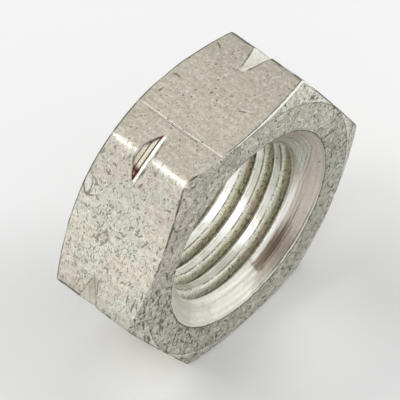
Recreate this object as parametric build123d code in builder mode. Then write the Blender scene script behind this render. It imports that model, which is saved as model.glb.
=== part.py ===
import math
import os

from build123d import *

# A left-hand hex jam nut, 1-1/4 inch with 7 threads to the inch, standing on one flat.
# The bore runs along Y, the front face looks along -Y, and the corners point along +X and -X.
# All sizes are in millimetres and degrees.

# Hexagon and its two turned ends
across_flats = 47.625
thickness = 18.0
front_chamfer_angle = 17.0  # between the cone and the face
back_chamfer_angle = 26.5

# Thread: 60 degree form, with flats left on crest and root
pitch = 25.4 / 7
major_diameter = 31.75
thread_angle = 60.0
root_flat = pitch / 8
crest_flat = 1.3
groove_depth_at_corner = 5.08  # from the front face to the middle of a groove, on the +X side

# Countersinks at both mouths of the bore
countersink_rim = 2.425  # how far they open past the thread's roots, all round
countersink_angle = 105.0

# V notches across the corners, the mark of a left-hand thread
notch_depth = 2.45
notch_angle = 60.0
notch_flat = 0.6  # width of the flat along the V's bottom
notch_setback = 0.6  # from mid-thickness towards the back

# Derived places
apothem = across_flats / 2
corner_radius = apothem / math.cos(math.radians(30))
half_thickness = thickness / 2
major_radius = major_diameter / 2
flank_slope = math.tan(math.radians(thread_angle / 2))
minor_radius = major_radius - (pitch - root_flat - crest_flat) / 2 / flank_slope
countersink_radius = major_radius + countersink_rim
stock_margin = 1.0  # how far the cutting tools run past the metal

# The nut's own axis: local x is +X, local y is up, local z points out of the front face.
nut_plane = Plane(origin=(0, 0, apothem), x_dir=(1, 0, 0), z_dir=(0, -1, 0))
# A half section through the +X corner: local x is the radius, local y points out of the front face.
section_plane = Plane(origin=(0, 0, apothem), x_dir=(1, 0, 0), z_dir=(0, 0, -1))
nut_axis = Axis((0, 0, apothem), (0, -1, 0))


def chamfer_drop(angle, radius):
    """How far a corner cone has fallen below its face at a radius."""
    return (radius - apothem) * math.tan(math.radians(angle))


def groove_half_width(radius):
    """Half the width of the thread groove at a radius."""
    return root_flat / 2 + (major_radius - radius) * flank_slope


# The turned envelope: both faces are full circles that touch the flats, with cones out to the corners.
outer = corner_radius + stock_margin
with BuildPart() as envelope:
    with BuildSketch(section_plane):
        with BuildLine():
            Polyline(
                (0, -half_thickness),
                (apothem, -half_thickness),
                (outer, -half_thickness + chamfer_drop(back_chamfer_angle, outer)),
                (outer, half_thickness - chamfer_drop(front_chamfer_angle, outer)),
                (apothem, half_thickness),
                (0, half_thickness),
                close=True,
            )
        make_face()
    revolve(axis=nut_axis)

# The plain bore at the thread's crests, opened at both ends by the countersinks.
countersink_slope = math.tan(math.radians(countersink_angle / 2))
countersink_depth = (countersink_radius - minor_radius) / countersink_slope
mouth_radius = countersink_radius + stock_margin * countersink_slope
with BuildPart() as bore:
    with BuildSketch(section_plane):
        with BuildLine():
            Polyline(
                (0, -half_thickness - stock_margin),
                (mouth_radius, -half_thickness - stock_margin),
                (minor_radius, -half_thickness + countersink_depth),
                (minor_radius, half_thickness - countersink_depth),
                (mouth_radius, half_thickness + stock_margin),
                (0, half_thickness + stock_margin),
                close=True,
            )
        make_face()
    revolve(axis=nut_axis)

# One turn of the thread groove: a trapezoid swept along a left-hand helix about the Z axis, front end up.
# The turns are cut one after another, and the first and last of them run out past the metal.
inner_radius = minor_radius - crest_flat / 2
clear_of_metal = half_thickness + groove_half_width(inner_radius)
groove_middle = half_thickness - groove_depth_at_corner
turns_back = math.ceil((groove_middle + clear_of_metal) / pitch)
turns_front = math.ceil((clear_of_metal - groove_middle) / pitch)
groove_start = groove_middle - turns_back * pitch
with BuildPart() as groove_turn:
    with BuildLine() as lead:
        Helix(pitch=pitch, height=pitch, radius=major_radius, center=(0, 0, groove_start), lefthand=True)
    with BuildSketch(Plane.XZ):
        with BuildLine():
            Polyline(
                (major_radius, groove_start - groove_half_width(major_radius)),
                (major_radius, groove_start + groove_half_width(major_radius)),
                (inner_radius, groove_start + groove_half_width(inner_radius)),
                (inner_radius, groove_start - groove_half_width(inner_radius)),
                close=True,
            )
        make_face()
    sweep(path=lead.line, is_frenet=True)

# One V cutter with a blunt tip, lying across a corner that points along its local x.
notch_bottom = corner_radius - notch_depth
notch_reach = notch_depth + stock_margin
notch_half_width = notch_flat / 2 + notch_reach * math.tan(math.radians(notch_angle / 2))
notch_half_length = corner_radius / 2
with BuildPart() as notch:
    with BuildSketch(Plane.XZ):
        with BuildLine():
            Polyline(
                (notch_bottom, -notch_setback + notch_flat / 2),
                (notch_bottom + notch_reach, -notch_setback + notch_half_width),
                (notch_bottom + notch_reach, -notch_setback - notch_half_width),
                (notch_bottom, -notch_setback - notch_flat / 2),
                close=True,
            )
        make_face()
    extrude(amount=notch_half_length, both=True)

with BuildPart() as jam_nut:
    with BuildSketch(nut_plane):
        RegularPolygon(radius=apothem, side_count=6, major_radius=False)
    extrude(amount=half_thickness, both=True)
    add(envelope.part, mode=Mode.INTERSECT)
    with Locations(nut_plane):
        with PolarLocations(0, 6):
            add(notch.part, mode=Mode.SUBTRACT)
    add(bore.part, mode=Mode.SUBTRACT)
    for turn in range(turns_back + turns_front):
        with Locations(nut_plane.offset(turn * pitch)):
            add(groove_turn.part, mode=Mode.SUBTRACT)

jam_nut.part.label = "jam_nut"

os.makedirs("parts", exist_ok=True)
export_step(jam_nut.part, "parts/jam_nut.step")
print("volume", round(jam_nut.part.volume, 1), "mm3, valid", jam_nut.part.is_valid)
print("box", jam_nut.part.bounding_box())
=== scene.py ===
# A worn left-hand hex jam nut, standing on one flat with its bore level.
# Lengths are millimetres and angles degrees, unless a note says otherwise.
import bpy
import numpy as np
from mathutils import Matrix, Vector


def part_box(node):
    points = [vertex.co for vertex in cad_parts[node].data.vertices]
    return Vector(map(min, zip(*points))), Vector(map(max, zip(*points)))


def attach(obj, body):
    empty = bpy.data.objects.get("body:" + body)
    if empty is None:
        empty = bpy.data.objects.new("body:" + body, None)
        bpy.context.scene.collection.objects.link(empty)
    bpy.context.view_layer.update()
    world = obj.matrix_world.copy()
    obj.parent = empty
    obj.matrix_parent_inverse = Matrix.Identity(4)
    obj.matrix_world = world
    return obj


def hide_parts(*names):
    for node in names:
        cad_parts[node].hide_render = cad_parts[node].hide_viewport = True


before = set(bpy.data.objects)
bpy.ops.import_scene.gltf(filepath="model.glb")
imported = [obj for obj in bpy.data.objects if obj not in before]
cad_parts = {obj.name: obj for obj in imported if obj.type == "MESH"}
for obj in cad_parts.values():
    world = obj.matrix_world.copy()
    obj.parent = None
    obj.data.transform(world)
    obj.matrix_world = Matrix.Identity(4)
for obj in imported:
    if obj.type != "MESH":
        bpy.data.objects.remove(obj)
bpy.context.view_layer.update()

mm = 0.001
low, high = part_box("jam_nut")
print("frame loaded, box", [round(v, 5) for v in low], [round(v, 5) for v in high])

camera = dict(
    place=(-0.22120, -0.20395, 0.41195),  # metres
    right=(0.67253, -0.74001, -0.00890),
    up=(0.58858, 0.52754, 0.61260),
    back=(-0.44864, -0.41723, 0.79034),  # from the nut towards the lens
    lens=276.95,
    sensor=36,
    near=0.01,  # metres, as is the next
    far=20,
)


def makeCamera(c):
    # a long lens at its place, turned so that its own three axes are the given directions
    data = bpy.data.cameras.new("camera")
    data.lens = c["lens"]
    data.sensor_width = c["sensor"]
    data.clip_start = c["near"]
    data.clip_end = c["far"]
    holder = bpy.data.objects.new("camera", data)
    bpy.context.collection.objects.link(holder)
    turn = Matrix((c["right"], c["up"], c["back"])).transposed().to_4x4()
    holder.matrix_world = Matrix.Translation(c["place"]) @ turn
    bpy.context.scene.camera = holder


makeCamera(camera)
print("camera placed")

nut = dict(
    apothem=(high.z - low.z) / 2 / mm,
    halfThick=(high.y - low.y) / 2 / mm,
    height=(high.z + low.z) / 2 / mm,  # of the bore's axis above the floor
    frontChamfer=17,
    backChamfer=26.5,
    pitch=25.4 / 7,
    majorRadius=15.875,
    minorRadius=14.251,
    rootFlat=25.4 / 56,
    grooveAtCorner=5.08,  # from the front face to a groove's middle, on the +X side
    sinkRadius=18.3,
    sinkHalfAngle=52.5,
    notchDepth=2.45,
    notchSetback=0.6,
    notchFlat=0.6,  # width of the flat along the V's bottom
    # how widely two flats melt together, from the +X corner round, and how far that varies along a corner
    cornerBlend=(0.6, 0.85, 1.45, 0.6, 0.6, 0.7),
    cornerWander=0.35,
    chamferBlend=0.12,  # and a turned face into its cone
    edgeBlend=0.2,  # and a flat into the turned face
    stripBlend=0.5,  # and the top flat into the front face, towards the +X end
    stripReach=(-7, 13),  # along X, from where that strip begins to its full width
    lipBlend=0.1,  # and the notch lips
    mouthBlend=0.25,  # and the countersinks' rims
    sinkBlend=0.08,  # and the thread into a countersink
    rootBlend=0.28,
    crestBlend=0.24,
    crestRoll=0.22,  # how far wear has rolled each crest over towards the front
    rollWidth=0.35,
    halfSideColumns=50,
    fineStep=0.2,
    coarseStep=0.85,
    stepSpread=6,
    # radii of the rows round each mouth; inside the first one the thread's rows take over
    mouthRows=(16.3, 16.75, 17.2, 17.65, 17.95, 18.12, 18.22, 18.3, 18.38, 18.48, 18.7),
    fanDepth=1.2,  # edge rows fan out from this far inside the metal
    fanAngles=(26, 35, 41, 45, 49, 55, 64),
    flankRows=(0.02, 0.25, 0.6, 0.88, 1),  # shares of a notch's half width
    bottomRows=(-0.8, 0, 0.8),  # shares of its bottom's half width
)
cosThirty = np.cos(np.radians(30))
tanThirty = float(np.tan(np.radians(30)))
frontSlope = np.tan(np.radians(nut["frontChamfer"]))
backSlope = np.tan(np.radians(nut["backChamfer"]))
sinkSlope = np.tan(np.radians(nut["sinkHalfAngle"]))
notchFloor = nut["apothem"] / cosThirty - nut["notchDepth"]
# half the width of a groove at the crests
crestEdge = nut["rootFlat"] / 2 + (nut["majorRadius"] - nut["minorRadius"]) * tanThirty


def smoothMax(a, b, blend):
    # the larger of two values, plus a parabola where they differ by less than blend
    h = np.clip(1 - np.abs(a - b) / blend, 0, 1)
    return np.maximum(a, b) + h * h * blend / 4


def smoothStep(low, high, value):
    # 0 up to low, 1 from high on, and an S curve between
    t = np.clip((value - low) / (high - low), 0, 1)
    return t * t * (3 - 2 * t)


def latticeNoise(x, y, z, cell, seed):
    # random values on a cubic lattice, carried smoothly between its corners: -1 to 1
    q = np.stack([x, y, z]) / cell + seed * 17.37
    base = np.floor(q)
    f = q - base
    f = f * f * f * (f * (f * 6 - 15) + 10)
    base = base.astype(np.int64)
    total = 0
    for dx, dy, dz in np.ndindex(2, 2, 2):
        code = (base[0] + dx) * 374761393 + (base[1] + dy) * 668265263 + (base[2] + dz) * 1274126177
        code = (code ^ (code >> 13)) * 1103515245 & 0x7FFFFFFF
        code = (code ^ (code >> 16)) & 0xFFFF
        weight = (f[0] if dx else 1 - f[0]) * (f[1] if dy else 1 - f[1]) * (f[2] if dz else 1 - f[2])
        total = total + weight * (code / 32767.5 - 1)
    return total


def fromCorner(phi):
    # signed angle from the nearest corner, -30 to 30 degrees, in radians
    sixth = np.pi / 3
    return (phi + sixth / 2) % sixth - sixth / 2


def cornerNumber(phi):
    # 0 to 5, counted from the corner along +X towards +Z
    return np.round(np.degrees(phi) / 60).astype(int) % 6


def fromGroove(phi, y):
    # signed distance along the bore from the nearest thread groove: a left-hand helix, one pitch per turn
    middle = -nut["halfThick"] + nut["grooveAtCorner"] + nut["pitch"] * phi / (2 * np.pi)
    return ((y - middle) / nut["pitch"] + 0.5) % 1 * nut["pitch"] - nut["pitch"] / 2


def offGroove(phi, y):
    # distance along the bore from a groove's middle, with the flank that faces the front drawn in a little
    d = fromGroove(phi, y)
    return np.abs(d) + nut["crestRoll"] * smoothStep(0, nut["rollWidth"], d)


def flankRadius(d):
    # radius of a 30 degree flank, by the distance from the groove's middle
    return nut["majorRadius"] - (d - nut["rootFlat"] / 2) / tanThirty


def sinkRadiusAt(y):
    # radius of both countersinks: widest at the mouths, less the depth times the slope
    return nut["sinkRadius"] - (nut["halfThick"] - np.abs(y)) * sinkSlope


def boreRadius(phi, y):
    # the thread's flanks between root and crest radii, then the larger of that and both countersinks
    thread = -smoothMax(-flankRadius(offGroove(phi, y)), -nut["majorRadius"], nut["rootBlend"])
    thread = smoothMax(thread, nut["minorRadius"], nut["crestBlend"])
    return smoothMax(thread, sinkRadiusAt(y), nut["sinkBlend"])


def strip(phi, r, y):
    # the worn strip along the top flat's front edge: 0 at its left end, 1 towards the right
    degrees = np.degrees(phi) % 360
    share = smoothStep(*nut["stripReach"], r * np.cos(phi))
    return share * (y < 0) * (degrees < 120) * smoothStep(50, 60, degrees)


def notchGap(phi, r, y):
    # distance-like, positive in the open V: the smaller of its height over the flat bottom and over a flank
    deep = r * np.cos(fromCorner(phi)) - notchFloor
    aside = np.abs(y - nut["notchSetback"]) - nut["notchFlat"] / 2
    return np.minimum(deep, (deep - np.sqrt(3) * aside) / 2)


def outsideBy(phi, r, y):
    # distance-like, negative in the metal: the hexagon, both turned ends, the notches and the bore
    a = nut["apothem"]
    turn = fromCorner(phi)
    thirty = np.pi / 6
    wander = nut["cornerWander"] * np.sin(1.1 * y + 0.8) * np.sin(0.47 * y + 2)
    blend = np.array(nut["cornerBlend"])[cornerNumber(phi)] * (1 + wander)
    hexagon = smoothMax(r * np.cos(turn - thirty) - a, r * np.cos(turn + thirty) - a, blend)
    ends = []
    for side, angle in ((-1, nut["frontChamfer"]), (1, nut["backChamfer"])):
        chamfer = np.radians(angle)
        face = side * y - nut["halfThick"]
        cone = face * np.cos(chamfer) + (r - a) * np.sin(chamfer)
        ends.append(smoothMax(face, cone, nut["chamferBlend"]))
    edge = nut["edgeBlend"] + (nut["stripBlend"] - nut["edgeBlend"]) * strip(phi, r, y)
    body = smoothMax(hexagon, np.maximum(*ends), edge)
    body = smoothMax(body, notchGap(phi, r, y), nut["lipBlend"])
    return smoothMax(body, boreRadius(phi, y) - r, nut["mouthBlend"])


def columnAngles():
    # angles round the nut, closest together at the corners: equal steps of the sum of 1/spacing
    away, gap = np.linspace(0, 30, 3001, retstep=True)
    wide = 1 - np.exp(-(away / nut["stepSpread"]) ** 2)
    spacing = nut["fineStep"] + (nut["coarseStep"] - nut["fineStep"]) * wide
    count = np.concatenate([[0], np.cumsum(gap / spacing[1:])])
    half = np.interp(np.linspace(0, count[-1], nut["halfSideColumns"] + 1), count, away)
    side = np.concatenate([-half[1:-1][::-1], half])
    return np.radians((side[None, :] + 60 * np.arange(6)[:, None]).ravel())


def spread(a, b, count, first=True):
    # evenly spaced rows from a to b, each of which may differ from column to column
    t = np.linspace(0, 1, count)[0 if first else 1:]
    return a + (b - a) * t[:, None]


def outerRays(phi):
    # start points and directions, by radius and place along the bore, for the rows round the outside
    a, half, fan = nut["apothem"], nut["halfThick"], nut["fanDepth"]
    turn = fromCorner(phi)
    hexRadius = a / np.cos(np.pi / 6 - np.abs(turn))
    frontEdge = -half + (hexRadius - a) * frontSlope
    backEdge = half - (hexRadius - a) * backSlope
    one = np.ones_like(phi)
    mouthRows = np.array(nut["mouthRows"])[:, None] * one
    inner = hexRadius - fan
    split = np.minimum(a, inner - 0.4)
    discRows, coneRows = spread(mouthRows[-1], split, 8, False), spread(split, inner, 4, False)
    faceRows = np.concatenate([mouthRows, discRows, coneRows])
    fanTurn = np.radians(nut["fanAngles"])[:, None]
    # the middle rows follow the notch: its lips, its flanks and its floor
    notchHalf = (hexRadius * np.cos(turn) - notchFloor) / np.sqrt(3)
    ended = np.clip(-notchHalf / 1.2, 0, 1)
    reach = np.maximum(notchHalf, 0.1) + 1.5 * ended * ended * (3 - 2 * ended)
    flankRows = nut["notchFlat"] / 2 + np.array(nut["flankRows"])[:, None] * reach
    bottomRows = np.array(nut["bottomRows"])[:, None] * nut["notchFlat"] / 2 * one
    notchRows = nut["notchSetback"] + np.concatenate([-flankRows[::-1], bottomRows, flankRows])
    frontRows = spread(frontEdge + fan, notchRows[0] - 0.16, 12)
    backRows = spread(notchRows[-1] + 0.16, backEdge - fan, 12)
    flatRows = np.concatenate([frontRows, notchRows, backRows])

    def rows(count, *values):
        # each value repeated over a number of rows and all columns
        return [np.broadcast_to(value, (count, phi.size)) for value in values]

    parts = [
        rows(len(faceRows), faceRows, -5, 0, -1),
        rows(len(fanTurn), inner, frontEdge + fan, np.sin(fanTurn), -np.cos(fanTurn)),
        rows(len(flatRows), hexRadius - 4, flatRows, 1, 0),
        rows(len(fanTurn), inner, backEdge - fan, np.sin(fanTurn[::-1]), np.cos(fanTurn[::-1])),
        rows(len(faceRows), faceRows[::-1], 5, 0, 1),
    ]
    rays = [np.concatenate(values) for values in zip(*parts)]
    return rays, [len(part[0]) for part in parts]


def walkOut(phi, rays, reach=7, halvings=26):
    # halves the step along each ray until it stands on the surface
    r0, y0, dr, dy = rays
    near = np.zeros_like(r0)
    far = np.full_like(r0, reach)
    for step in range(halvings):
        middle = (near + far) / 2
        out = outsideBy(phi, r0 + dr * middle, y0 + dy * middle) > 0
        far = np.where(out, middle, far)
        near = np.where(out, near, middle)
    return r0 + dr * near, y0 + dy * near


def threadRows(phi):
    # rows that run along the helix, so that crests and roots stay crisp: a fixed set of places in each pitch
    edge, pitch = crestEdge, nut["pitch"]
    side = [0.18, 0.34, 0.65, edge - 0.2, edge - 0.06, edge + 0.07, edge + 0.22]
    places = np.array([-s for s in side[::-1]] + [0] + side + [pitch / 2])
    limit = nut["halfThick"] - (nut["sinkRadius"] - nut["mouthRows"][0]) / sinkSlope
    start = -nut["halfThick"] + nut["grooveAtCorner"] + pitch * phi[0] / (2 * np.pi)
    turns = np.arange(-6, 7)
    base = (start + turns[:, None] * pitch + places[None, :]).ravel()
    first = np.searchsorted(base, -limit - pitch) - 1
    last = np.searchsorted(base, limit) + 1
    y = base[first:last, None] + pitch * (phi - phi[0])[None, :] / (2 * np.pi)
    return y, limit, len(places)


def nutSurface():
    # one closed skin: rows from mouth to mouth round the outside, and helical rows through the bore between
    phi = columnAngles()
    rays, counts = outerRays(phi)
    r, y = walkOut(phi, rays)
    helix, limit, perPitch = threadRows(phi)
    # both ends of the outside rows lie exactly where the bore's rows are cut off
    y[0], y[-1] = -limit, limit
    r[0], r[-1] = boreRadius(phi, y[0]), boreRadius(phi, y[-1])
    outerIndex = np.arange(r.size).reshape(r.shape)
    within = limit - 0.02
    inside = (helix > -within) & (helix < within)
    boreIndex = np.where(helix <= -within, outerIndex[0][None, :], outerIndex[-1][None, :])
    boreIndex[inside] = outerIndex.size + np.arange(inside.sum())
    borePhi = np.broadcast_to(phi, helix.shape)[inside]
    boreY = helix[inside]
    allPhi = np.concatenate([np.broadcast_to(phi, r.shape).ravel(), borePhi])
    allR = np.concatenate([r.ravel(), boreRadius(borePhi, boreY)])
    allY = np.concatenate([y.ravel(), boreY])
    # outside faces: neighbouring rows, closed round the nut
    nextOuter = np.roll(outerIndex, -1, axis=1)
    quads = [outerIndex[:-1], outerIndex[1:], nextOuter[1:], nextOuter[:-1]]
    quads = np.stack(quads, -1).reshape(-1, 4)
    zone = np.repeat(np.arange(5), counts)
    quadZone = np.repeat(zone[1:], phi.size)
    # bore faces: after a full turn each row meets the row one pitch on
    shifted = np.full(helix.shape[0], outerIndex[-1, 0])
    shifted[:-perPitch] = boreIndex[perPitch:, 0]
    nextBore = np.concatenate([boreIndex[:, 1:], shifted[:, None]], 1)
    bore = np.stack([boreIndex[:-1], nextBore[:-1], nextBore[1:], boreIndex[1:]], -1).reshape(-1, 4)
    same = bore == np.roll(bore, -1, axis=1)
    full = bore[~same.any(1)]
    cut = same.sum(1) == 1
    triangles = bore[cut][~same[cut]].reshape(-1, 3)
    triangles = triangles[triangles[:, 0] != triangles[:, 2]]
    faces = quads.tolist() + full.tolist() + triangles.tolist()
    faceZone = np.concatenate([quadZone, np.full(len(full) + len(triangles), 5)])
    return allPhi, allR, allY, faces, faceZone


phi, radius, along, faces, faceZone = nutSurface()
print("nut surface:", phi.size, "points,", len(faces), "faces")

wear = dict(
    unevenness=0.016,
    unevenCell=5.5,
    grain=0.012,
    grainCell=0.75,
    chipDepth=0.22,
    chipSize=1.1,
    # one value for each corner, from the +X one round towards +Z
    cornerWear=(0.3, 0, 0.9, 0.1, 0.6, 0.5),
    cornerDark=(0, 0.7, 0, 0.62, 0, 0),
    bandWidth=(1, 0.9, 1, 2.2, 1, 1),
    soiled=(0.8, 0, 1, 0.2, 0.6, 0.3),
    # one value for each flat: 1 is the top one, 2 the one up and to the left
    rimDark=(1, 1, 0.9, 0.8, 0.8, 0.8),
    pitting=(0.3, -0.4, 0.27, 0.3, 0.25, 0.3),
    densest=(-21.3, 2.5, 11.5),
    # dents: centre from the bore's middle, long direction, half length, half width and depth
    dents=[
        ((-18.7, 7.7, 15.3), (0.42, 0.1, 0.73), 1.9, 0.62, 0.16),
        ((1.8, 6.9, 23.8), (0.3, 0.9, 0), 0.5, 0.2, 0.12),
        ((-23.6, -8.6, 7), (0.5, 0, 0.87), 1.2, 0.35, 0.2),
        ((-25.2, -8.3, 2.6), (0.5, 0, 0.87), 1, 0.5, 0.25),
        ((-18.9, -9, 5.2), (0.4, 0, 0.9), 1.4, 0.35, 0.14),
        ((9.4, -9, -19.7), (0.9, 0, -0.1), 1.9, 0.7, 0.14), ((19.4, -9, 1.9), (0.2, 0, 1), 0.9, 0.45, 0.1),
        ((16.2, -9, 17.8), (0.77, 0, -0.64), 2.4, 0.16, 0.07),
        ((24.6, 3, 6), (0.5, 0.2, -0.8), 1.4, 0.5, 0.15), ((-8, 9, 18.5), (0.8, 0, 0.5), 1.6, 0.4, 0.12),
        ((14, 9, -14), (0.7, 0, 0.7), 1.2, 0.5, 0.12),
    ],
)


def surfaceNormals(x, y, z, step=0.004):
    # the slope of outsideBy: its value a small step ahead less the value a step behind, along each axis
    slopes = []
    for dx, dy, dz in ((step, 0, 0), (0, step, 0), (0, 0, step)):
        ahead = outsideBy(np.arctan2(z + dz, x + dx), np.hypot(x + dx, z + dz), y + dy)
        behind = outsideBy(np.arctan2(z - dz, x - dx), np.hypot(x - dx, z - dz), y - dy)
        slopes.append(ahead - behind)
    n = np.stack(slopes)
    return n / np.maximum(np.linalg.norm(n, axis=0), 1e-9)


def closeness(a, b, width):
    # 1 where two surfaces meet, falling to 0 a width away from their edge
    near = np.clip(1 - np.abs(a - b) / width, 0, 1)
    return near * np.clip(1 + (a + b) / (2 * width), 0, 1)


def edgesNearby(phi, r, y):
    # how near each point is to a corner, an end rim, a notch lip and a bore mouth: 0 to 1 each
    a, half = nut["apothem"], nut["halfThick"]
    turn = fromCorner(phi)
    left = r * np.cos(turn - np.pi / 6) - a
    right = r * np.cos(turn + np.pi / 6) - a
    hexagon = np.maximum(left, right)
    front = np.maximum(-y - half, -y - half + (r - a) * frontSlope)
    back = np.maximum(y - half, y - half + (r - a) * backSlope)
    notch = notchGap(phi, r, y)
    corner = closeness(left, right, 1.35)
    rim = closeness(hexagon, np.maximum(front, back), 0.5)
    lip = closeness(hexagon, notch, 0.45)
    mouth = np.clip(1 - np.abs(r - nut["sinkRadius"]) / 0.35, 0, 1) * (np.abs(y) > half - 0.6)
    inNotch = np.clip((notch - hexagon + 0.05) / 0.08, 0, 1)
    return corner, rim, lip, mouth, inNotch


def wornDepth(x, y, z, rims):
    # how far the surface has gone in: slow unevenness, fine grain, chips along the rims, and the dents
    w = wear
    depth = w["unevenness"] * (1 + latticeNoise(x, y, z, w["unevenCell"], 1)) / 2
    depth = depth + w["grain"] * (1 + latticeNoise(x, y, z, w["grainCell"], 2)) / 2
    chips = smoothStep(0.25, 0.75, latticeNoise(x, y, z, w["chipSize"], 3))
    depth = depth + w["chipDepth"] * chips * rims
    ragged = 1 + 0.35 * latticeNoise(x, y, z, 0.6, 4)
    for centre, direction, long, wide, deep in w["dents"]:
        way = np.array(direction) / np.linalg.norm(direction)
        away = np.stack([x - centre[0], y - centre[1], z - centre[2]])
        ahead = np.tensordot(way, away, 1)
        aside = np.maximum((away ** 2).sum(0) - ahead ** 2, 0)
        spot = (ahead / long) ** 2 + aside / wide ** 2
        depth = depth + deep * np.exp(-(spot * ragged) ** 1.5)
    return depth


def surfaceMasks(phi, r, y, x, z):
    # what the finishes read at each point: how near each kind of edge is, times its wear or darkening and a
    # noise
    corner, rim, lip, mouth, inNotch = edgesNearby(phi, r, y)
    w, half = wear, nut["halfThick"]
    atCorner = cornerNumber(phi)
    side = np.floor(np.degrees(phi) / 60).astype(int) % 6
    front = y < 0
    inBore = r < nut["sinkRadius"] - 0.02
    tangent = r * np.sin(fromCorner(phi))
    scatter = latticeNoise(x, y, z, 1.4, 5)
    ragged = 0.6 * scatter + 0.4 * latticeNoise(x, y, z, 0.5, 6)
    patchy = smoothStep(-0.9, 0, ragged)

    def each(name, number):
        # each point's own value out of a list for the corners or the flats
        return np.array(w[name])[number]

    # bare metal along the corners, the lower rims and the lower right of the mouths
    alongCorner = corner * each("cornerWear", atCorner) * smoothStep(-0.7, 0.45, ragged) * (1 - inNotch)
    alongRim = rim * np.where(side < 3, 0, 0.3) * smoothStep(-0.6, 0.2, ragged)
    lowRight = smoothStep(30, -60, np.degrees(np.arctan2(z, x)))
    inward = smoothStep(nut["sinkRadius"] + 0.12, nut["sinkRadius"] - 0.05, r)
    # the edge between the side flat and the front face is broken up towards its foot
    broken = (side == 2) & front & (z < 13)
    inBreaks = rim * broken * 0.7 * smoothStep(0.1, 0.5, -scatter)
    rubbed = np.maximum.reduce([alongCorner, alongRim, mouth * inward * lowRight * patchy, inBreaks])
    # dark lines along the rims, two of the corners, the rest of the mouths and the notch lips
    rimDark = np.where((side == 1) & front, 0.2 + 0.75 * smoothStep(-10.4, -11.6, x), each("rimDark", side))
    rimDark = rim * rimDark * np.where(broken, 0.85 * smoothStep(-0.1, 0.5, scatter), patchy)
    cornerDark = each("cornerDark", atCorner) * smoothStep(-0.5, 0.4, scatter + 0.35 * (atCorner == 1))
    cornerDark = smoothStep(0.4, 0.85, corner) * cornerDark
    lipDark = lip * (1 - 0.4 * inNotch) * (0.75 + 0.25 * ragged) * smoothStep(4.3, 3.6, np.abs(tangent))
    edgeDark = np.maximum.reduce([rimDark, cornerDark, mouth * 0.8 * (1 - lowRight) * patchy, lipDark])
    # greyer bands beside the corners where the top flat and the flat up and to the left end
    greyBand = smoothStep(each("bandWidth", atCorner), 0.2, np.abs(tangent))
    greyBand = greyBand * np.isin(atCorner, (1, 3)) * (1 - inNotch)
    # across the rims: below 0 on the flats, above 0 on the turned faces
    hexagonGap = r * np.cos(np.abs(fromCorner(phi)) - np.pi / 6) - nut["apothem"]
    endGap = np.abs(y) - half + np.maximum(r - nut["apothem"], 0) * np.where(front, frontSlope, backSlope)
    acrossRim = np.clip(endGap - hexagonGap, -3, 3)
    # how thickly the pits lie
    dense = np.exp(-sum((a - b) ** 2 for a, b in zip((x, y, z), w["densest"])) / 30)
    pitting = each("pitting", side) + (0.5 * dense - 0.2 * smoothStep(7, 1, z)) * (side == 2)
    lowFront = np.exp(-((x + 14) ** 2 + (z + 16) ** 2) / 120) + np.exp(-((x - 21) ** 2 + (z - 4) ** 2) / 90)
    turnedFace = (np.abs(y) > half - 0.3 * np.clip(r - nut["apothem"], 0, 9) - 0.1) & ~inBore
    pitting = np.where(turnedFace, 0.28 + 0.5 * np.clip(lowFront, 0, 1) * front, pitting)
    # dried dirt in the back half of the notch at the top left corner
    residue = smoothStep(1.5, 2.6, tangent) + 0.9 * smoothStep(-2.8, -3.6, tangent)
    residue = np.maximum(residue, smoothStep(-0.8, -1.8, tangent) * smoothStep(0.35, 0.7, lip))
    residue = residue * inNotch * smoothStep(-0.02, 0.12, y - nut["notchSetback"]) * (atCorner == 2)
    # along the bore to the thread's nearest root and crest, and whether a countersink has cut the thread away
    d = offGroove(phi, y)
    toCrest = fromGroove(phi, y) % nut["pitch"] - nut["pitch"] / 2
    thread = np.clip(flankRadius(d), nut["minorRadius"], nut["majorRadius"])
    opened = smoothStep(-0.06, 0.06, sinkRadiusAt(y) - thread)
    return dict(
        rubbed=rubbed, edgeDark=edgeDark, pitting=pitting, cut=inNotch, residue=residue,
        soiled=each("soiled", atCorner),
        fromRoot=np.where(inBore, d, 3), fromCrest=np.where(inBore, toCrest, 0),
        sunk=np.where(r < nut["sinkRadius"] + 0.05, opened, 0),
        greyBand=greyBand, acrossRim=acrossRim, strip=strip(phi, r, y),
    )


def makeMesh(name, points, faces, masks, finishes, finishOf):
    # one smooth-shaded object, with each mask kept as a value per point and each face's finish as its number
    mesh = bpy.data.meshes.new(name)
    mesh.from_pydata(points.tolist(), [], faces)
    for mask, values in masks.items():
        mesh.attributes.new(mask, "FLOAT", "POINT").data.foreach_set("value", values.astype(np.float32))
    for finish in finishes:
        mesh.materials.append(finish)
    mesh.polygons.foreach_set("material_index", finishOf.astype(np.int32))
    mesh.polygons.foreach_set("use_smooth", np.ones(len(faces), bool))
    mesh.update()
    piece = bpy.data.objects.new(name, mesh)
    bpy.context.collection.objects.link(piece)
    return piece


x, z = radius * np.cos(phi), radius * np.sin(phi)
normals = surfaceNormals(x, along, z)
corner, rim, lip, mouth, inNotch = edgesNearby(phi, radius, along)
# few chips on the top flat's back edge, and about a third of the wear in the thread
keen = np.where((along > 0) & (phi > np.radians(55)) & (phi < np.radians(120)), 0.2, 1)
depth = wornDepth(x, along, z, keen * np.maximum(np.maximum(rim, 0.6 * corner), 0.5 * mouth))
depth = np.where(radius < nut["sinkRadius"] - 0.3, 0.35 * depth, depth)
masks = surfaceMasks(phi, radius, along, x, z)
points = np.stack([x, along, z + nut["height"]], 1) - (normals * depth).T
print("wear worked out, deepest", round(float(depth.max()), 3), "mm")


def operator(operation, swap=False):
    # a method of Wire that puts it and another value through one operation
    return lambda wire, other=0: wire.maths(operation, other, swap)


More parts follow.
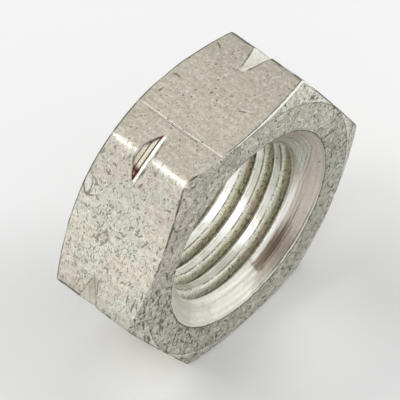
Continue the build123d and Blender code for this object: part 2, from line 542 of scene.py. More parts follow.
class Wire:
    # one socket of a shader tree: arithmetic on it adds Math nodes, and make adds any other node
    def __init__(self, tree, socket=None):
        self.tree = tree
        self.socket = socket

    def make(self, kind, sockets, out=0, **settings):
        # a new node with its settings and input sockets filled in: gives one of its outputs
        node = self.tree.nodes.new("ShaderNode" + kind)
        for key, value in settings.items():
            setattr(node, key, value)
        for key, value in sockets.items():
            if isinstance(value, Wire):
                self.tree.links.new(value.socket, node.inputs[key])
            else:
                node.inputs[key].default_value = value
        return Wire(self.tree, node.outputs[out] if len(node.outputs) else None)

    def maths(self, operation, other=0, swap=False):
        # this value and another put through one operation, or the other way round
        first, second = (other, self) if swap else (self, other)
        return self.make("Math", {0: first, 1: second}, operation=operation)

    __add__, __radd__ = operator("ADD"), operator("ADD", True)
    __sub__, __rsub__ = operator("SUBTRACT"), operator("SUBTRACT", True)
    __mul__, __rmul__ = operator("MULTIPLY"), operator("MULTIPLY", True)
    __truediv__ = operator("DIVIDE")
    __abs__ = operator("ABSOLUTE")
    larger = operator("MAXIMUM")
    smaller = operator("MINIMUM")

    def vector(self, operation, other=None, out=0):
        # this place or direction and another put through one operation: out is 1 for an answer in one number
        sockets = {0: self} if other is None else {0: self, 1: other}
        return self.make("VectorMath", sockets, out, operation=operation)

    def rise(self, low, high):
        # 0 below low, 1 above high, smooth between; low may be the larger of the two
        return self.make("MapRange", {0: self, 1: low, 2: high}, interpolation_type="SMOOTHSTEP")

    def grain(self, scale, detail=2, roughness=0.5, distortion=0, across="3D"):
        # noise with about scale lumps to each unit of this place, or of this number where across is 1D
        where = "W" if across == "1D" else "Vector"
        sockets = {where: self, "Scale": scale, "Detail": detail}
        sockets.update({"Roughness": roughness, "Distortion": distortion})
        return self.make("TexNoise", sockets, noise_dimensions=across)

    def stretch(self, x, y, z):
        # a place with each of its three parts multiplied
        return self.vector("MULTIPLY", (x, y, z))

    def paint(self, under, over):
        # this value is the share of the colour over, and the rest is the colour under
        return self.make("Mix", {0: self, 6: under, 7: over}, 2, data_type="RGBA")

    def tint(self, colour, amount):
        # a colour times a grey amount
        colour = colour if isinstance(colour, Wire) else colour[:3]
        return self.make("VectorMath", {0: colour, "Scale": amount}, operation="SCALE")

    def part(self, axis):
        # one of a place's three parts: 0, 1 or 2
        return self.make("SeparateXYZ", {0: self}, axis)

    def mask(self, name):
        # a value that the mesh keeps at its points
        return self.make("Attribute", {}, 2, attribute_name=name)


def startFinish(name):
    # an empty material, and its place in millimetres from the middle of the bore, whole and as three parts
    material = bpy.data.materials.new(name)
    material.use_nodes = True
    tree = material.node_tree
    tree.nodes.clear()
    wire = Wire(tree)
    place = wire.make("TexCoord", {}, 3)
    place = wire.make("VectorMath", {0: place, "Scale": 1 / mm}, operation="SCALE")
    place = place.vector("SUBTRACT", (0, 0, nut["height"]))
    return material, wire, place, *(place.part(axis) for axis in range(3))


def endFinish(material, wire, colour, roughness, height, bumpDepth):
    # metal whose surface stands up by height times bumpDepth, which is in metres
    bump = wire.make("Bump", {"Strength": 1, "Distance": bumpDepth, "Height": height})
    shader = wire.make("BsdfPrincipled", {
        "Base Color": colour, "Metallic": 1, "Roughness": roughness, "Normal": bump})
    wire.make("OutputMaterial", {0: shader})
    return material


def squiggles(place, size, amount, level=0.5, thick=0.036):
    # short crooked marks: thin contour lines of one noise, cut short by a second noise
    lines = abs(place.grain(1 / size, 2, 0.55, 0.5) - level).rise(thick, thick * 0.33)
    gate = place.grain(2.7 / size, 1, 0.5)
    return lines * (gate + (amount - 1) * 0.16).rise(0.47, 0.53)


def specks(place, spacing, share):
    # round spots: cells whose centre is close, kept for a share of the cells
    sockets = {"Vector": place, "Scale": 1 / spacing}
    close, chosen = (place.make("TexVoronoi", sockets, out, feature="F1") for out in (0, 1))
    return close.rise(0.3, 0.12) * chosen.part(0).rise(1 - share, 1.03 - share)


def line(position, at, halfWidth):
    # a straight band round one value of a coordinate: 1 in its middle, 0 beyond half its width
    return abs(position - at).rise(halfWidth, halfWidth * 0.35)


def spots(place, centres, size):
    # round marks at given places: 1 in their middles, by the distance from the nearest one
    found = 0
    for centre in centres:
        found = place.vector("DISTANCE", centre, 1).rise(size * 1.3, size * 0.6).larger(found)
    return found


def ding(place, x, y, z, dx, dy, dz, long, wide):
    # distance from an oval's middle as a share of its size, 1 on its outline: the root of both shares squared
    away = place.vector("SUBTRACT", (x, y, z))
    way = tuple(np.array((dx, dy, dz)) / np.linalg.norm((dx, dy, dz)))
    ahead = away.vector("DOT_PRODUCT", way, 1)
    length = away.vector("LENGTH", out=1)
    aside = (length * length - ahead * ahead) / (wide * wide)
    return (ahead * ahead / (long * long) + aside).maths("POWER", 0.5)


def darkenRims(wire, colour, dirt, grit, mottle):
    # darker where the edge darkening and grit together are high, then beside the worn strip along the top
    # flat's front edge
    edgeDarkShare = (wire.mask("edgeDark") + (grit - 0.5) * 0.5).rise(0.25, 0.55)
    colour = (edgeDarkShare * 0.85).paint(colour, dirt)
    across, share = wire.mask("acrossRim"), wire.mask("strip")
    reach = share * 0.19 + (grit * 0.22 - 0.03)
    worn = abs(across).rise(reach + 0.05, reach - 0.05) * share.rise(0.02, 0.12)
    beside = abs(abs(across) - reach - 0.12).rise(0.15, 0.06) * mottle.rise(0.36, 0.46)
    beside = beside * share.rise(0.01, 0.05) * (across.rise(0.1, -0.1) * 0.45 + 0.5)
    return (beside * 0.85).paint(colour, dirt), worn


flatLook = dict(
    name="broachedFlats",
    # the top flat's steel: partly its own warmer tone, partly painted shade
    warm=(0.52, 0.47, 0.385, 1),
    pink=(0.81, 0.75, 0.645, 1),
    green=(0.785, 0.775, 0.67, 1),
    dirt=(0.10, 0.095, 0.07, 1),
    bright=(0.87, 0.85, 0.79, 1),
    cutSteel=(0.84, 0.82, 0.74, 1),
    soil=(0.64, 0.59, 0.525, 1),
    # the darkest colour: tool lines in the notches, and painted shadow along their crease
    bottom=(0.05, 0.04, 0.03, 1),
    stain=(0.12, 0.03, 0.018, 1),
    roughness=0.42,
    brightRoughness=0.42,
    bumpDepth=0.00012,  # metres
    markSize=2.1,
    greenest=(-19.6, 1.3, 13.5),
    scratchAt=-6.1,  # along X
    furrowAt=-6.5,
    pitSize=0.17,
    pits=[(-22.5, 5.4, 8.6), (-22.1, 5.8, 9.3)],
    glintSize=0.2,
    glints=[(-17.1, -5.3, 18), (-16.9, -5.6, 18.3)],
    # marks: middle and direction, half length and half width
    oval=(-18.55, 7.95, 15.5, 0.5, 0.2, 0.84, 1.8, 0.66),
    darkMarks=[
        (-25.2, -7.3, 3.8, 0.5, 0, 0.87, 1.3, 0.2), (-24.2, -8.2, 5.8, 0.5, 0.1, 0.86, 1, 0.16),
        (-25.1, -5.9, 4.2, 0.5, 0.1, 0.86, 0.8, 0.14), (-20.2, -5.3, 12.6, 0.4, -0.5, 0.75, 0.9, 0.13),
        (-16.8, 5.2, 18.5, -0.09, -0.98, -0.16, 0.58, 0.15),
        (-16.76, 5.1, 18.6, 0.5, -0.1, 0.86, 0.5, 0.14), (-19.9, -3.4, 13.2, -0.03, -1, -0.06, 0.4, 0.15),
        (-19.8, -4.1, 13.4, 0.35, -0.71, 0.61, 0.5, 0.15), (-19.45, 7, 13.95, 0.21, -0.9, 0.37, 0.95, 0.13),
        (-19.25, 5.45, 14.25, -0.19, -0.93, -0.31, 0.34, 0.18),
        (-17.95, 7.05, 16.55, -0.24, -0.88, -0.41, 0.6, 0.13),
        (-18.25, 6.55, 15.95, 0.43, -0.54, 0.73, 0.45, 0.13),
        (-25.17, -7.93, 4, -0.44, -0.46, -0.77, 0.7, 0.15),
        (-20.4, 6.85, 12.3, -0.14, -0.95, -0.26, 0.45, 0.14),
        (-16.1, -0.9, 19.7, 0.45, -0.41, 0.79, 0.64, 0.14),
        (-18.2, 6.5, 16.1, -0.26, -0.84, -0.47, 0.45, 0.14),
    ],
    # on the top flat everything lies at one height, and has only x and y
    top=23.8,
    topPits=[
        (-6.06, 2.57), (-6.12, -0.6), (-0.4, 2.9), (1.09, 3.33), (2.31, 1.13), (3.36, 1.22),
        (1.67, -0.49), (-1.01, 4.08), (-7.87, -1.58), (3.88, -1.67), (-5.93, -4.34), (7.02, 4.49),
    ],
    topGlints=[(10.3, -6.2), (9.9, -2.9), (6.4, 1.9), (2.6, 0.2), (-9.3, 3.4), (4.66, 7.43), (5.15, 2.32)],
    topDark=[
        (1.44, 7.5, 0.06, -1, 0.65, 0.2), (2.6, -4.9, 0.4, -0.92, 0.7, 0.12),
        (10.16, 6.66, -0.49, -0.87, 0.85, 0.14), (-2.43, 7.4, 1, 0, 0.55, 0.14),
    ],
    topLight=[
        (3.2, -5.4, 0.4, -0.92, 0.95, 0.17), (-5.2, -2.9, -0.3, -0.9, 1.1, 0.1),
        (11.2, -4.2, 0.9, -0.4, 0.9, 0.12), (-12.2, 6.4, 0.2, 1, 0.8, 0.3),
        (6.66, 1.76, 0.99, 0.15, 0.45, 0.15), (6.76, 5.92, 0.99, -0.15, 0.42, 0.14),
    ],
)


def flatSteel(k):
    # pink and greenish steel times its grain, then dark marks, glints, notches, dirt and bare metal over it
    material, wire, place, x, y, z = startFinish(k["name"])
    dirt = k["dirt"]
    rubbed, pitting, cut, soiled = (wire.mask(n) for n in ("rubbed", "pitting", "cut", "soiled"))
    clouds = place.grain(0.16, 3, 0.6)
    patches = place.grain(0.33, 2, 0.6)
    mottle = place.grain(1.3, 3, 0.65)
    grit = place.grain(3.4, 2, 0.6)
    blur, fuzz = mottle - 0.5, grit - 0.5
    onTop = z.rise(23, 23.4)
    greener = place.vector("DISTANCE", k["greenest"], 1).rise(7.5, 2.5) * 0.22
    colour = (clouds + patches * 0.6 + greener).rise(0.72, 1).paint(k["pink"], k["green"])
    # the top flat is warmer and darker: partly its own tone, partly painted shade
    colour = (onTop * 0.75).paint(colour, k["warm"])
    colour = wire.tint(colour, mottle * 0.9 + grit * 0.75 + 0.185)
    # fine drag marks of the broach run along the bore
    drag = place.stretch(2, 0.22, 2).grain(1, 4, 0.65)
    colour = wire.tint(colour, drag * 0.5 + 0.75)
    # painted light and shade: a little brighter towards the foot of the side flats, a little darker towards
    # the right of the top one
    slope = ((z.rise(17, -6) - 0.5) * 0.12 - z.rise(14, 19) * 0.1) * (1 - onTop)
    slope = slope - x.rise(-1, 13) * onTop * 0.12 - onTop * 0.02
    farLeft = x.rise(-23, -26)
    colour = wire.tint(colour, slope + 1 - farLeft * 0.12)
    # greyer bands beside two corners
    colour = wire.tint(colour, 1 - wire.mask("greyBand") * (grit * 0.3 + 0.02))
    size = k["markSize"]
    marks = squiggles(place, size, pitting + 0.05, 0.5, 0.05)
    marks = marks.larger(squiggles(place.stretch(1, 1.5, 0.8), size * 0.65, pitting - 0.15, 0.5, 0.045))
    # longer marks, low on the flat up and to the left
    often = z.rise(14, 2) * x.rise(0, -10) - 0.1
    strokes = squiggles(place.stretch(0.9, 1.5, 0.35), size * 0.7, often)
    dots = specks(place, 1.7, 0.06) * pitting.rise(0.1, 0.4)
    lowLeft = z.rise(9, 2) * x.rise(-18, -23)
    marks = marks.larger(strokes).larger(dots) * (grit * 0.8 + 0.45) * (1 - lowLeft * 0.2)
    # one long scratch over the top flat, with a dark furrow beside it
    wander = (place.stretch(0, 1, 0).grain(0.35, 2) - 0.5) * 0.35
    scratch = line(x + wander, k["scratchAt"], 0.13) * onTop * y.rise(8, 7.4) * (grit * 0.7 + 0.55)
    furrow = line(x + wander, k["furrowAt"], 0.13) * onTop * y.rise(6.6, 6)
    furrow = furrow * y.rise(-4.5, -3) * mottle.rise(0.35, 0.5)
    dark = (marks + furrow * 0.7).smaller(1) * (1 - rubbed) * (1 - cut)
    # an oval dent's outline is heaviest low on the side towards the front
    oval = ding(place, *k["oval"])
    heavy = (y * 0.5 + z * 0.5).rise(12.9, 10.6) * 0.7 + 0.45
    outline = line(oval + blur * 0.7 + fuzz * 0.4, 1.12, 0.24) * heavy

    def onFlat(places):
        # places by x and y, with the top flat's height added
        return [(*at, k["top"]) for at in places]

    def marksOnFlat(marks):
        # marks by x and y, with the top flat's height added and level directions
        return [(x, y, k["top"], dx, dy, 0, long, wide) for x, y, dx, dy, long, wide in marks]

    pits = spots(place, onFlat(k["topPits"]) + k["pits"], k["pitSize"])
    dark = dark.larger(outline.smaller(1)).larger(pits)
    for mark in marksOnFlat(k["topDark"]) + k["darkMarks"]:
        dark = dark.larger((ding(place, *mark) + fuzz * 0.8).rise(1.2, 0.8) * 0.9)
    colour = (dark * 0.66).smaller(0.85).paint(colour, dirt)
    glints = specks(place.stretch(1, 0.5, 1), 1.1, 0.12) * 0.5
    glints = glints.larger(spots(place, k["glints"] + onFlat(k["topGlints"]), k["glintSize"]))
    glints = glints.larger(squiggles(place.stretch(1, 0.6, 1), size, 0.55, 0.43) * 0.4)
    glints = glints.larger(squiggles(place.stretch(1.2, 0.5, 1.2), size * 0.7, 0.85, 0.45) * onTop * 0.5)
    for mark in marksOnFlat(k["topLight"]):
        glints = glints.larger((ding(place, *mark) + fuzz * 0.8).rise(1.2, 0.8) * 0.75)
    middle = (oval + blur * 0.6).rise(1, 0.75) * (0.4 + mottle * 0.6)
    colour = (glints * (1 - dark) * 0.6).larger(middle).paint(colour, k["bright"])
    # the notches: one bright flank, one soiled flank with tool lines along it, and painted shadow along the
    # crease where the bottom meets that flank
    across = y - nut["notchSetback"] - nut["notchFlat"] / 2
    inside = (across.rise(-0.02, 0.04) * soiled).paint(k["cutSteel"], k["soil"])
    inside = (farLeft * 0.65).paint(inside, k["pink"])
    inside = wire.tint(inside, mottle * 0.5 + 0.75 - farLeft * 0.06)
    wobble = fuzz * 0.18
    toolLinesAndShadow = line(across + wobble * 0.5, 0.53, 0.085).larger(line(across + wobble, 1, 0.08) * 0.6)
    # painted shadow along the crease between the bottom and the soiled flank
    toolLinesAndShadow = (toolLinesAndShadow * soiled).larger(line(across, 0.04, 0.12) * (soiled * 0.75 + 0.25))
    inside = (toolLinesAndShadow * 0.9).paint(inside, k["bottom"])
    colour = cut.paint(colour, inside)
    stained = (wire.mask("residue") * mottle.rise(0.25, 0.42)).smaller(1)
    colour = stained.paint(colour, k["stain"])
    colour, strip = darkenRims(wire, colour, dirt, grit, mottle)
    # painted highlight: a pale halo round the rubbed metal, which widens the bright line along the corners
    colour = (rubbed.rise(0.02, 0.6) * (0.2 + mottle * 0.5)).paint(colour, k["bright"])
    bare = (rubbed * (mottle * 1.2 + grit * 0.8)).rise(0.2, 0.9).larger(scratch * 0.8)
    bare = (bare * (mottle * 0.5 + 0.58)).smaller(0.9).larger(strip)
    colour = bare.paint(colour, k["bright"])
    roughness = k["roughness"] + blur * 0.22 - cut * 0.08
    roughness = roughness + (k["brightRoughness"] - roughness) * bare + dark * 0.25 + stained * 0.2
    height = mottle * 0.4 + grit * 0.35 + drag * 0.1 - dark - scratch * 0.3 - oval.rise(1.15, 0.7) * 0.8
    return endFinish(material, wire, colour, roughness, height, k["bumpDepth"])


faceLook = dict(
    name="turnedFaces",
    grey=(0.50, 0.475, 0.405, 1),
    pale=(0.62, 0.60, 0.52, 1),
    mauve=(0.54, 0.49, 0.44, 1),
    cone=(0.78, 0.775, 0.68, 1),
    dirt=(0.09, 0.085, 0.065, 1),
    rust=(0.20, 0.09, 0.05, 1),
    bright=(0.92, 0.90, 0.85, 1),
    roughness=0.46,
    brightRoughness=0.4,
    bumpDepth=0.00012,  # metres
    markSize=2.5,
    rusty=[(19.3, -9, 1.6), (19.9, -9, 2.6)],
    rustSize=0.3,
    # marks: middle and direction, half length and half width
    scratch=(16.3, -8.95, 17.4, 0.81, -0.01, -0.59, 2.6, 0.17),
    darkMarks=[
        (15.1, -9, 17.95, 0.83, 0, -0.56, 1, 0.16), (10.2, -9, -20, 0.95, 0, -0.3, 0.9, 0.15),
        (-21.3, -9, 2.1, 0.12, 0, -0.99, 0.8, 0.18), (-19.5, -9, 0.7, 0.06, 0, -1, 0.75, 0.16),
        (-19.2, -9, 6.8, 0.13, 0, -0.99, 1.5, 0.17), (-18.3, -9, 5.4, -0.12, 0, -0.99, 1.15, 0.14),
        (-21, -9, 4.9, -0.23, 0, -0.97, 0.6, 0.16), (-24.6, -8.75, -0.7, 0.05, 0, -1, 1.4, 0.2),
        (-23.7, -8.85, -4.9, 0.32, 0, -0.95, 1.3, 0.18), (-20.6, -9, -1, -0.35, 0, -0.94, 0.8, 0.16),
        (-17.4, -9, -7, 0.21, 0, -0.98, 0.75, 0.15), (-14.4, -9, -13.7, 0.27, 0, -0.96, 0.85, 0.15),
        (-24.3, -8.8, 3.1, -0.2, 0, -0.98, 0.7, 0.2), (-23, -8.95, 0.7, -0.2, 0, -0.98, 0.7, 0.18),
    ],
)


def faceSteel(k):
    # grey and pale steel times its grain and turning rings, then pits, glints, dirt and bare metal over it
    material, wire, place, x, y, z = startFinish(k["name"])
    dirt = k["dirt"]
    rubbed, pitting = wire.mask("rubbed"), wire.mask("pitting")
    reach = place.stretch(1, 0, 1).vector("LENGTH", out=1)  # from the bore's axis
    clouds = place.grain(0.2, 3, 0.6)
    mottle = place.grain(1.5, 3.5, 0.65)
    grit = place.grain(3.6, 2, 0.6)
    blur, fuzz = mottle - 0.5, grit - 0.5
    colour = clouds.rise(0.35, 0.68).paint(k["grey"], k["pale"])
    colour = (x.rise(-6, -16) * z.rise(-6, 8) * 0.6).paint(colour, k["mauve"])
    edge = reach + blur * 0.4 - nut["apothem"]
    # the corner cones: palest towards the top right
    coneShare = x.rise(-8, 12) * z.rise(-4, 16) * 0.5 + x.rise(10, 22) * 0.2 + 0.06
    colour = (edge.rise(-0.05, 0.25) * coneShare).paint(colour, k["cone"])
    smear = place.grain(0.7, 2, 0.5)
    colour = wire.tint(colour, mottle * 1.9 + grit * 1.5 + smear * 0.5 - 0.96)
    rings = (reach * 2.6).grain(1, 3, across="1D")
    colour = wire.tint(colour, rings * 0.2 + 0.9 - x.rise(8, 19) * z.rise(15, 2) * 0.16)
    size = k["markSize"]
    marks = squiggles(place, size, pitting + 0.1, 0.5, 0.055)
    marks = marks.larger(squiggles(place.stretch(1, 1, 0.7), size * 0.7, pitting - 0.1, 0.5, 0.045))
    # deeper pits round the lower left of the front face, longer up and down
    rough = y.rise(0, -2) * x.rise(-8, -15) * z.rise(10, 2)
    marks = marks.larger(squiggles(place.stretch(1.1, 1, 0.5), size * 1.1, rough * 1.3 - 0.3, 0.52, 0.05))
    dots = specks(place, 1.7, 0.08) * pitting.rise(0.1, 0.5)
    dark = marks.larger(dots) * (1 - rubbed) * (grit * 0.8 + 0.5)
    colour = (dark * 0.82).smaller(0.9).paint(colour, dirt)
    for mark in k["darkMarks"]:
        stroke = (ding(place, *mark) + fuzz * 0.9).rise(1.2, 0.7)
        colour = (stroke * 0.75).paint(colour, dirt)
    glints = (specks(place, 1.1, 0.09) * 0.6).larger(squiggles(place, size, pitting + 0.2, 0.44, 0.05) * 0.7)
    # the rim where the face's circle meets the corner cones, bright low down and at the right
    rim = line(edge, 0.02, 0.19) * z.rise(0, -7).larger(x.rise(15.5, 19)) * mottle.rise(0.3, 0.42)
    glints = glints.larger(rim).larger(ding(place, *k["scratch"]).rise(1.2, 0.8))
    colour = (line(edge, -0.3, 0.13) * mottle.rise(0.4, 0.55) * 0.6).paint(colour, dirt)
    colour = (glints * 0.75).paint(colour, k["bright"])
    mouthLine = line(reach + fuzz * 0.3, nut["sinkRadius"] + 0.2, 0.2) * z.rise(2, -6)
    colour = (mouthLine * (mottle * 0.5 + grit * 0.5).rise(0.42, 0.5) * 0.85).paint(colour, dirt)
    rusty = spots(place, k["rusty"], k["rustSize"]) * mottle.rise(0.35, 0.5)
    colour = (rusty * 0.7).paint(colour, k["rust"])
    colour, strip = darkenRims(wire, colour, dirt, grit, mottle)
    bare = (rubbed * (mottle * 0.9 + grit * 0.7 + 0.2)).rise(0.3, 0.8).larger(strip)
    colour = bare.paint(colour, k["bright"])
    roughness = k["roughness"] + blur * 0.25
    roughness = roughness + (k["brightRoughness"] - roughness) * bare + dark * 0.2
    height = mottle * 0.5 + grit * 0.4 + rings * 0.12 - dark
    return endFinish(material, wire, colour, roughness, height, k["bumpDepth"])


boreLook = dict(
    name="cutThread",
    sink=(0.85, 0.835, 0.76, 1),
    sinkShade=(0.61, 0.545, 0.485, 1),
    sinkInner=(0.60, 0.585, 0.51, 1),
    mauve=(0.25, 0.185, 0.14, 1),
    tan=(0.44, 0.39, 0.32, 1),
    crest=(0.96, 0.96, 0.905, 1),
    crestDull=(0.86, 0.84, 0.745, 1),
    flank=(0.66, 0.64, 0.49, 1),
    flankTaupe=(0.65, 0.585, 0.49, 1),
    # pale by the crests: partly smoother metal, partly painted highlight
    flankPale=(0.93, 0.925, 0.825, 1),
    flankGrey=(0.76, 0.77, 0.68, 1),
    # painted shade for the thread's roots
    root=(0.14, 0.13, 0.09, 1),
    dirt=(0.09, 0.085, 0.055, 1),
    roughness=0.33,
    bumpDepth=0.00006,  # metres
    # broken lines round the upper right of a countersink: radius, half width, and the share of the faint ones
    darkLine=(16.85, 0.09),
    faintLines=[(16.35, 0.07, 0.7), (17.5, 0.05, 0.5), (15.75, 0.07, 0.8), (15.15, 0.08, 0.7)],
)


def threadSteel(k):
    # flanks by their depth, crests over them and painted shade in the roots, then the countersinks by radius
    # and bearing
    material, wire, place, x, y, z = startFinish(k["name"])
    dirt = k["dirt"]
    rubbed, fromRoot, fromCrest, sunk = (wire.mask(n) for n in ("rubbed", "fromRoot", "fromCrest", "sunk"))
    reach = place.stretch(1, 0, 1).vector("LENGTH", out=1)  # from the bore's axis
    bearing = z.maths("ARCTAN2", x) * (180 / np.pi)  # degrees, from +X up towards +Z
    mottle = place.grain(1.6, 3, 0.65)
    grit = place.grain(4, 2, 0.6)
    clouds = place.grain(0.3, 2, 0.6)
    patches = place.grain(0.16, 2, 0.5)
    blur, fuzz = mottle - 0.5, grit - 0.5
    onCrest = (fromRoot + fuzz * 0.25).rise(crestEdge - 0.06, crestEdge + 0.05)
    atRoot = (fromRoot + blur * 0.5).rise(0.27, 0.08)
    # the flanks: pale by the crests, partly smoother metal and partly painted highlight, their own olive tone
    # with pits further down, and greyer towards the lower left
    deep = (crestEdge - fromRoot) / (crestEdge - 0.23) + blur * 0.5 + (clouds - 0.5) * 0.9
    ownTone = deep.rise(0.3, 0.62)
    tone = patches.rise(0.42, 0.58).paint(k["flank"], k["flankTaupe"])
    tone = (x.rise(4, -8) * z.rise(-1, -9) * 0.85).paint(tone, k["flankGrey"])
    flank = ownTone.paint(k["flankPale"], tone)
    upper = bearing.rise(-25, 5)
    flank = wire.tint(flank, mottle * 0.7 + grit * 0.6 + clouds * 0.6 + 0.05 - upper * 0.14)
    pits = squiggles(place, 1.3, 0.85, 0.5, 0.045).larger(specks(place, 1, 0.14)) * (ownTone * 0.7 + 0.3)
    flank = (pits * 0.75).paint(flank, dirt)
    # lines left by the tap run along the crests
    wobble = (place.grain(0.25, 2) - 0.5) * 0.5
    tapLine = line(fromCrest + wobble, 0.1, 0.07).larger(line(fromCrest + wobble, -0.32, 0.05) * 0.7)
    tapLine = tapLine * clouds.rise(0.4, 0.55)
    crest = clouds.rise(0.4, 0.62).paint(k["crest"], k["crestDull"])
    lit = bearing.rise(-92, -80) * bearing.rise(-27, -40)
    crest = wire.tint(crest, mottle * 0.3 + grit * 0.2 + y.rise(-3, 1.5) * 0.06 + lit * 0.12 + 0.64)
    # the crest next to the front countersink is tan at its upper end
    tanEnd = (bearing + blur * 16).rise(-24, 4) * y.rise(-1.4, -2.4)
    crest = (tanEnd * (clouds * 0.5 + 0.25)).paint(crest, k["tan"])
    crest = (tapLine * 0.5).paint(crest, dirt)
    crest = (specks(place, 1.1, 0.1) * 0.6).paint(crest, dirt)
    colour = onCrest.paint(flank, crest)
    # burrs and dirt along both edges of each crest
    burr = line(fromRoot + fuzz * 0.2, crestEdge + 0.02, upper * 0.05 + 0.13)
    burr = burr * (mottle * 0.6 + clouds * 0.4 + upper * 0.04).rise(0.44, 0.52)
    colour = (burr * 0.75).paint(colour, dirt)
    # painted shade in the roots
    colour = (atRoot * 0.85).paint(colour, k["root"])
    # the countersinks are pale, and the front one is shaded from low on the right round to the top
    rings = (reach * 3.4).grain(1, 2, across="1D")
    front = y.rise(0, -3)
    shade = (bearing + blur * 8).rise(-74, -66) * bearing.rise(140, 100) * front
    # the outer ring is pinker and the inner one greyer; their border drifts inwards round the upper right
    drift = reach - (bearing.smaller(18) - 18) * 0.05 - bearing.rise(20, 60) * 0.6 + blur * 0.2
    inner = (drift + rings * 0.3).rise(16.95, 16.65)
    inner = inner * (1 - (bearing + blur * 20).rise(26, 46) * 0.85)
    sinkTone = inner.paint(k["sinkShade"], k["sinkInner"])
    # painted shade: brighter low on the right, darker towards the top
    sinkTone = wire.tint(sinkTone, bearing.rise(15, -25) * 0.14 - bearing.rise(5, 60) * 0.14 + 0.95)
    sink = shade.paint(k["sink"], sinkTone)
    # a striped mauve patch low down
    stripes = (reach * 7.5 + rings * 5).maths("SINE") * 0.5 + 0.5
    patch = (bearing + fuzz * 5).rise(-78.5, -77) * (bearing - stripes * 11).rise(-44, -60) * front
    patch = patch * (reach + blur * 0.4).rise(16.85, 16.35) * (stripes * 0.25 + 0.74)
    # the tan round it fades out further down towards the rim, and leaves streaks beyond
    tanFoot = bearing + (reach - 16).larger(0) * 4.5 + (rings - 0.5) * 14 + fuzz * 4
    tan = tanFoot.rise(-83, -72) * (bearing + blur * 12).rise(-42, -62) * front
    sink = (tan * 0.8).paint(sink, k["tan"])
    trails = (stripes * 0.6 + rings * 0.8).rise(0.62, 0.95)
    trails = trails * bearing.rise(-135, -84) * bearing.rise(-60, -76)
    sink = (trails * front * 0.36).paint(sink, k["tan"])
    sink = patch.paint(sink, k["mauve"])
    # two dark lines and a pinkish one run along it
    beside = bearing.rise(-75, -68) * bearing.rise(-20, -38) * front
    sink = (line(reach + blur * 0.2, 16.42, 0.13) * beside * 0.45).paint(sink, k["sinkShade"])
    furrows = line(reach + blur * 0.2, 16.15, 0.11).larger(line(reach, 17.93, 0.1) * 0.8)
    sink = (furrows * beside * (grit * 0.8 + 0.35)).smaller(0.8).paint(sink, dirt)
    swirl = place.grain(0.4, 3, 0.6)
    bands = (reach * 1.3 + 7.7).grain(1, 0, across="1D")
    sink = wire.tint(sink, rings * 0.34 + bands * 0.3 + mottle * 0.22 + swirl * 0.5 + 0.3)
    # a pale strip along its inner edge, low on the right
    creamy = (reach + blur * 0.3).rise(15.15, 14.85) * bearing.rise(-5, -25)
    creamy = creamy * bearing.rise(-82, -72)
    sink = (creamy * front * 0.92).paint(sink, k["crest"])
    streaks = rings.rise(0.55, 0.66) * swirl.rise(0.4, 0.58)
    sink = (streaks * (shade * 0.1 + bearing.rise(-118, -100) * 0.18 + 0.12)).paint(sink, dirt)
    smear = (bearing.rise(-90, -152) * bearing.rise(-179, -165) + blur * 0.8).rise(0.75, 1)
    sink = (smear * front * 0.35).paint(sink, k["tan"])
    # broken lines that drift inwards round the upper right
    broken = (grit * 0.5 + mottle * 0.5).rise(0.42, 0.5)
    broken = broken * bearing.rise(-20, 0) * bearing.rise(95, 75) * front
    crooked = drift + fuzz * 0.12
    lines = line(crooked, *k["darkLine"])
    for at, width, share in k["faintLines"]:
        lines = lines.larger(line(crooked, at, width) * share)
    sink = (broken * lines * 0.7).paint(sink, dirt)
    sink = (specks(place, 1.6, 0.05) * 0.6).paint(sink, dirt)
    colour = sunk.paint(colour, sink)
    # darker along the mouths' edges
    edgeDarkShare = (wire.mask("edgeDark") + fuzz * 0.4).rise(0.4, 0.8)
    colour = (edgeDarkShare * 0.8).paint(colour, dirt)
    colour = rubbed.rise(0.25, 0.6).paint(colour, k["sink"])
    roughness = k["roughness"] + (1 - onCrest) * (1 - sunk) * 0.14 + blur * 0.14
    height = mottle * 0.3 + grit * 0.25 - pits * (1 - onCrest) * 0.9 - tapLine * onCrest * 0.4
    height = height * (1 - sunk) + rings * sunk * 0.4
    return endFinish(material, wire, colour, roughness, height, k["bumpDepth"])


finishes = [flatSteel(flatLook), faceSteel(faceLook), threadSteel(boreLook)]
corners = np.array([face[:3] for face in faces])
faceRadius = radius[corners].mean(1)
faceTilt = np.abs(normals[1][corners]).mean(1)
# zones run from the front face round the outside to the back face, and then the bore
finishOf = np.array([1, 0, 0, 0, 1, 2])[faceZone]
finishOf = np.where(np.isin(faceZone, (1, 3)) & (faceTilt > 0.5), 1, finishOf)
finishOf = np.where(faceRadius < nut["sinkRadius"], 2, finishOf)
nutBody = makeMesh("wornNut", points * mm, faces, masks, finishes, finishOf)
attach(nutBody, "root")
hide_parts("jam_nut")
print("nut dressed")

studio = dict(
    # lengths here are metres
    floorSize=3,
    floorColour=(0.88, 0.885, 0.88, 1),
    floorRoughness=0.9,
    floorShade=0.86,  # painted shade: share of its colour that the near half of the floor keeps
    floorWay=(0.744, 0.668, 0),  # along which it grows paler
    # painted light: paler places on the floor beside the nut: centre, reach and share
    floorLifts=[((0.004, -0.018, 0), 0.017, 0.24), ((-0.020, -0.004, 0), 0.013, 0.17)],
    keyFrom=(-0.46, 0.42, 0.78),
    keyStrength=0.5,
    keyAngle=26,
    sky=(0.88, 0.885, 0.885, 1),
    horizon=(1.02, 1.02, 1.01, 1),
    frontFrom=(0.45, -0.85, 0.27),
    frontGain=0.22,  # how much brighter the light is from there than from behind
    patch=(0.25, 0.19, 0.17, 1),
    patchFrom=(-0.17, -0.98, 0.09),
)


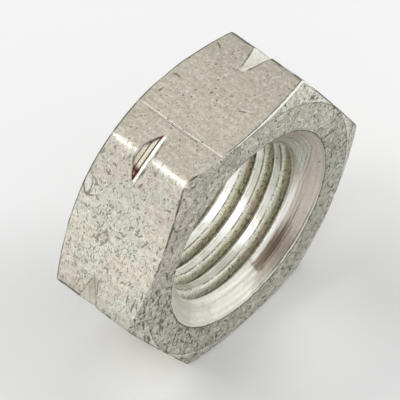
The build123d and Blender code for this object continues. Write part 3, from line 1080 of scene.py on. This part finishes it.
def makeFloor(s):
    # one square at height 0, whose colour is its painted shade by the distance along one way, times the
    # painted light of the paler places
    half = s["floorSize"] / 2
    mesh = bpy.data.meshes.new("floor")
    square = [(-half, -half, 0), (half, -half, 0), (half, half, 0), (-half, half, 0)]
    mesh.from_pydata(square, [], [(0, 1, 2, 3)])
    floor = bpy.data.objects.new("floor", mesh)
    bpy.context.collection.objects.link(floor)
    material = bpy.data.materials.new("paleFloor")
    material.use_nodes = True
    material.node_tree.nodes.clear()
    wire = Wire(material.node_tree)
    place = wire.make("TexCoord", {}, 3)
    away = place.vector("DOT_PRODUCT", s["floorWay"], 1) + (place.grain(14, 2) - 0.5) * 0.012
    shade = away.rise(-0.002, 0.020) * (1 - s["floorShade"]) + s["floorShade"]
    for centre, reach, share in s["floorLifts"]:
        shade = shade * (place.vector("DISTANCE", centre, 1).rise(reach, 0) * share + 1)
    sockets = {"Base Color": wire.tint(s["floorColour"], shade), "Roughness": s["floorRoughness"]}
    shader = wire.make("BsdfPrincipled", sockets)
    wire.make("OutputMaterial", {0: shader})
    mesh.materials.append(material)


def makeKey(s):
    # a weak, wide sun from the back left, turned so that its own Z axis points back at where it comes from
    data = bpy.data.lights.new("key", "SUN")
    data.energy = s["keyStrength"]
    data.angle = np.radians(s["keyAngle"])
    key = bpy.data.objects.new("key", data)
    bpy.context.collection.objects.link(key)
    key.rotation_mode = "QUATERNION"
    key.rotation_quaternion = Vector(s["keyFrom"]).to_track_quat("Z", "Y")


def makeWorld(s):
    # soft light from all round: pale at the horizon, greyer overhead, and a dark patch to the front
    world = bpy.data.worlds.new("studio")
    bpy.context.scene.world = world
    world.use_nodes = True
    world.node_tree.nodes.clear()
    wire = Wire(world.node_tree)
    way = wire.make("TexCoord", {}, 0)
    colour = way.part(2).rise(0.05, 0.7).paint(s["horizon"], s["sky"])
    ahead = way.vector("DOT_PRODUCT", s["frontFrom"], 1).rise(-1, 1)
    colour = wire.tint(colour, ahead * s["frontGain"] + 1 - s["frontGain"] * 0.5)
    colour = way.vector("DOT_PRODUCT", s["patchFrom"], 1).rise(0.955, 0.975).paint(colour, s["patch"])
    light = wire.make("Background", {"Color": colour, "Strength": 1})
    wire.make("OutputWorld", {0: light})


makeFloor(studio)
makeKey(studio)
makeWorld(studio)
bpy.context.scene.view_settings.view_transform = "Standard"
print("studio lit")
